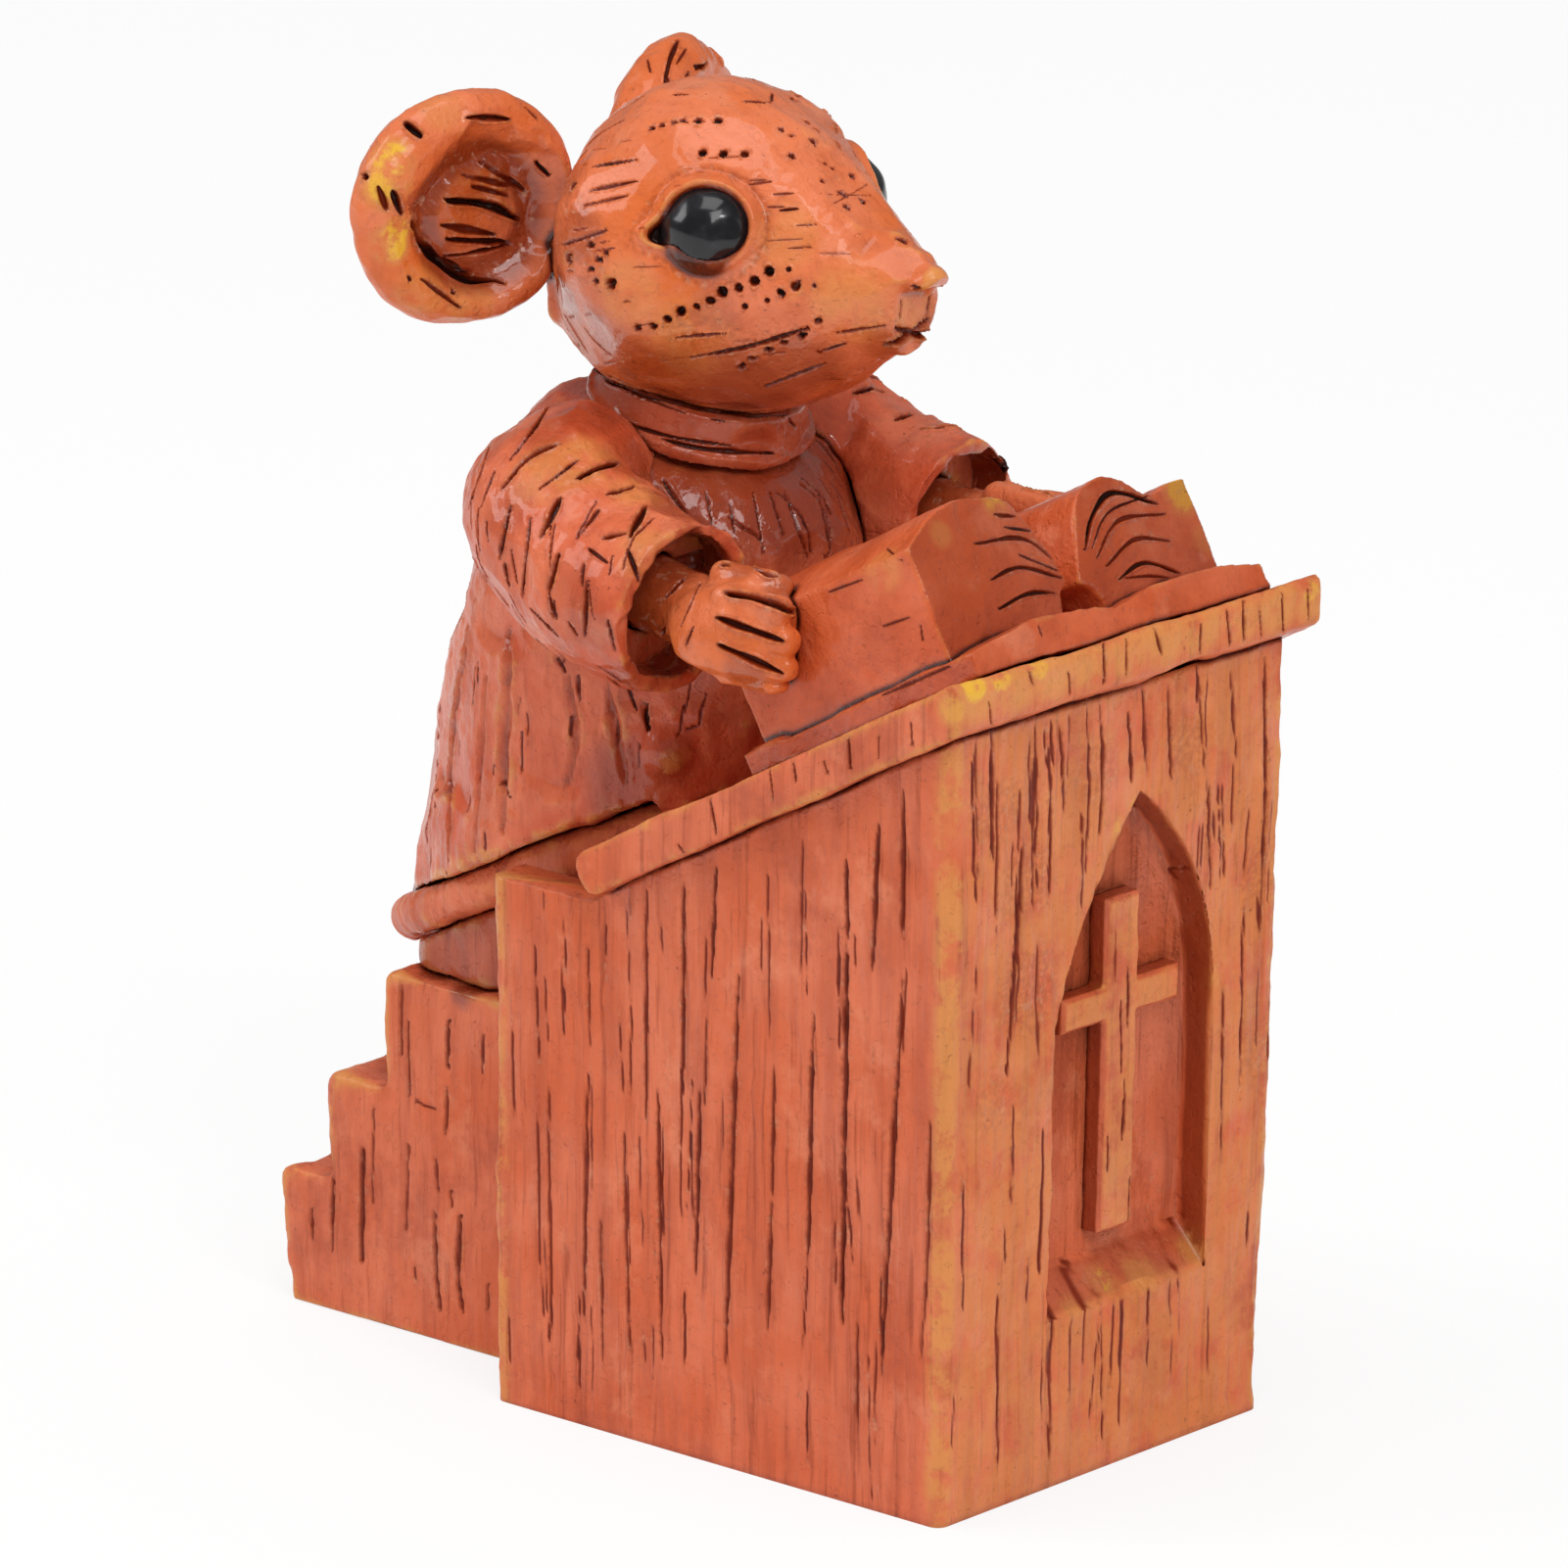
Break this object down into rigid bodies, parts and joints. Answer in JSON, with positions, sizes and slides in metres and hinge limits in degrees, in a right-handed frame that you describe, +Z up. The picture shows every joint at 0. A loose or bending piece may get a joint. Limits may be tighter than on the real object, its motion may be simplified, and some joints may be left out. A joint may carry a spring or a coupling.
{
  "type": "mouse figurine",
  "caption": "Carved-look resin ornament of a robed mouse standing on steps and reading an open book at a pulpit with a pointed-arch niche and a plain cross.",
  "frame": {"origin": "middle of the pulpit's underside, on the surface that the ornament stands on", "axes": "+Z up; the mouse and the pulpit's front face -Y; the mouse's right side lies at -X"},
  "size_m": [0.038, 0.0639, 0.0838],
  "materials": {
    "pulpit_finish": "filled polyester resin, terracotta paint with dark wash in the cuts, satin varnish",
    "book_finish": "filled polyester resin, terracotta paint with ochre edges, satin varnish",
    "robe_finish": "filled polyester resin, red-brown paint with dark wash in the cuts, gloss varnish",
    "fur_finish": "filled polyester resin, orange paint with punched dark dots, satin varnish",
    "eye_finish": "black gloss enamel"
  },
  "bodies": {
    "root": {"pulpit_case": "pulpit_finish", "front_cross": "pulpit_finish", "desk_board": "pulpit_finish", "book_cover": "book_finish", "right_pages": "book_finish", "left_pages": "book_finish", "stair_block": "pulpit_finish", "standing_wedge": "pulpit_finish", "standing_board": "pulpit_finish", "robe": "robe_finish", "collar": "robe_finish", "head": "fur_finish", "right_ear": "fur_finish", "left_ear": "fur_finish", "right_eye": "eye_finish", "left_eye": "eye_finish", "right_sleeve": "robe_finish", "left_sleeve": "robe_finish", "right_hand": "fur_finish", "left_hand": "fur_finish"}
  },
  "joints": []
}
